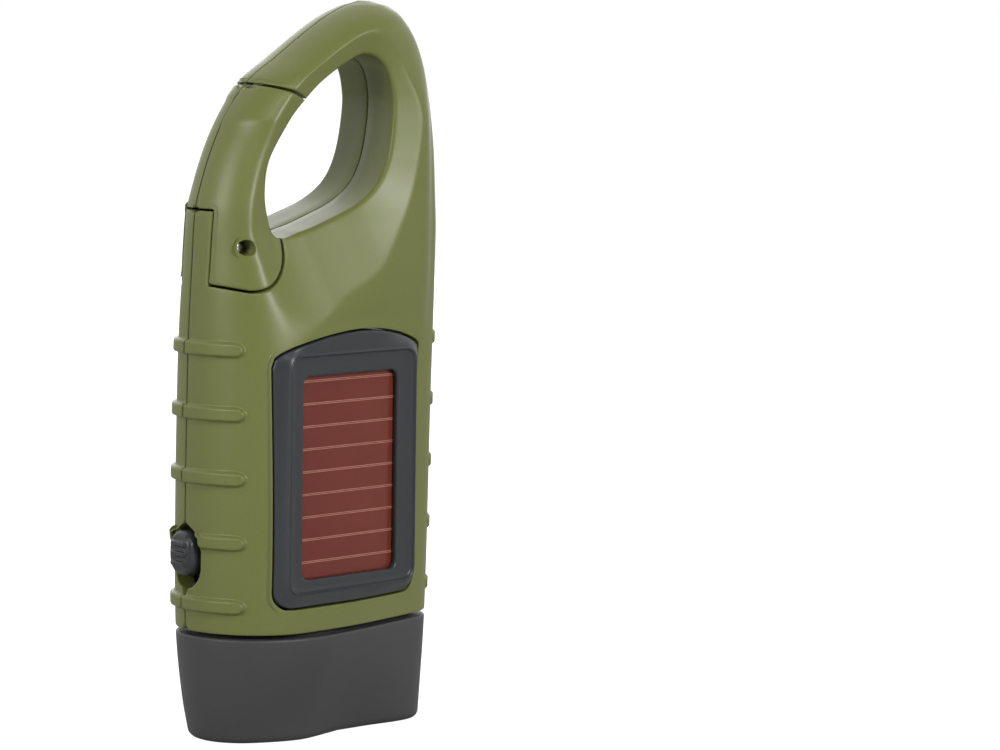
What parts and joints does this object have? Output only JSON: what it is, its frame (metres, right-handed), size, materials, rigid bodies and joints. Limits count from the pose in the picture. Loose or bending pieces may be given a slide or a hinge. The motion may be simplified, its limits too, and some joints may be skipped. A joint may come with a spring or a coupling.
{
  "type": "hand crank flashlight",
  "caption": "Hand crank flashlight with a carabiner handle, solar panel on one face and a folding crank on the other, standing on its lens end.",
  "frame": {"origin": "centre of the bounding box at the lens end, where it stands", "axes": "+Z from the lens end to the top of the carabiner handle, -Y out of the solar face, +Y out of the crank face, -X to the switch and gate side"},
  "size_m": [0.0584, 0.041, 0.14],
  "materials": {
    "green_plastic": "satin",
    "black_plastic": "satin black",
    "grey_plastic": "satin",
    "steel": "bright",
    "solar_glass": "brown solar cell under clear resin",
    "clear_plastic": "clear polished",
    "lamp_plastic": "clear domed lamps",
    "reflector_chrome": "bright plated",
    "board_green": "board with solder mask",
    "copper": "bare copper",
    "white_plastic": "acetal",
    "magnet": "sintered magnet"
  },
  "bodies": {
    "body": {"front_shell": "green_plastic", "rear_shell": "green_plastic", "gate_pin": "steel", "gate_spring": "steel", "solar_bezel": "black_plastic", "solar_cell": "solar_glass", "head_bezel": "grey_plastic", "lens": "clear_plastic", "reflector": "reflector_chrome", "led_board": "board_green", "led_1": "lamp_plastic", "led_2": "lamp_plastic", "led_3": "lamp_plastic", "switch_body": "steel", "main_board": "board_green", "battery_cell_1": "steel", "battery_cell_2": "steel", "battery_cell_3": "steel", "hub_bush": "white_plastic", "gear_plate": "steel", "axle_1": "steel", "axle_2": "steel", "generator_cup": "steel", "generator_coil": "copper", "handle_screw": "steel", "shoulder_screw": "steel", "lower_screw": "steel", "spine_screw": "steel", "led_lead_1": "copper", "led_lead_2": "copper"},
    "gate": {"carabiner_gate": "green_plastic"},
    "switch": {"switch_slider": "black_plastic"},
    "hub": {"crank_hub": "black_plastic", "drive_gear": "white_plastic", "hub_clip": "steel", "fold_pin": "steel"},
    "arm": {"crank_arm": "black_plastic", "knob_rivet": "steel"},
    "knob": {"crank_knob": "black_plastic"},
    "gear_pair_1": {"gear_1": "white_plastic"},
    "gear_pair_2": {"gear_2": "white_plastic"},
    "rotor": {"rotor_pinion": "white_plastic", "rotor_shaft": "steel", "rotor_magnet": "magnet"}
  },
  "joints": [
    {"name": "gate_hinge", "type": "hinge", "parent": "body", "child": "gate", "pos_m": [-0.0205, -0.00395, 0.0939], "axis": [0, 1, 0], "range_deg": [0, 26], "stiffness_Nm_per_rad": 0.1, "springref_deg": -17.19, "deforming": ["gate_spring"]},
    {"name": "switch_slide", "type": "slide", "parent": "body", "child": "switch", "axis": [0, 0, 1], "range_m": [-0.002, 0]},
    {"name": "hub_spin", "type": "hinge", "parent": "body", "child": "hub", "pos_m": [-0.007, 0.00715, 0.0467], "axis": [0, 1, 0], "continuous": true},
    {"name": "arm_fold", "type": "hinge", "parent": "hub", "child": "arm", "pos_m": [-0.007, 0.01695, 0.0467], "axis": [-0.8813, 0, 0.4726], "range_deg": [0, 180]},
    {"name": "knob_spin", "type": "hinge", "parent": "arm", "child": "knob", "pos_m": [0.01469, 0.01205, 0.08715], "axis": [0, 1, 0], "continuous": true},
    {"name": "gear_1_spin", "type": "hinge", "parent": "body", "child": "gear_pair_1", "pos_m": [0.00494, 0.00145, 0.05865], "axis": [0, 1, 0], "continuous": true},
    {"name": "gear_2_spin", "type": "hinge", "parent": "body", "child": "gear_pair_2", "pos_m": [0.00061, -0.00155, 0.06995], "axis": [0, 1, 0], "continuous": true},
    {"name": "rotor_spin", "type": "hinge", "parent": "body", "child": "rotor", "pos_m": [0.01076, -0.00395, 0.07468], "axis": [0, 1, 0], "continuous": true}
  ],
  "couplings": [
    {"joint": "gear_1_spin", "follows": "hub_spin", "ratio": -3.2},
    {"joint": "gear_2_spin", "follows": "hub_spin", "ratio": 9.6},
    {"joint": "rotor_spin", "follows": "hub_spin", "ratio": -29.867}
  ]
}
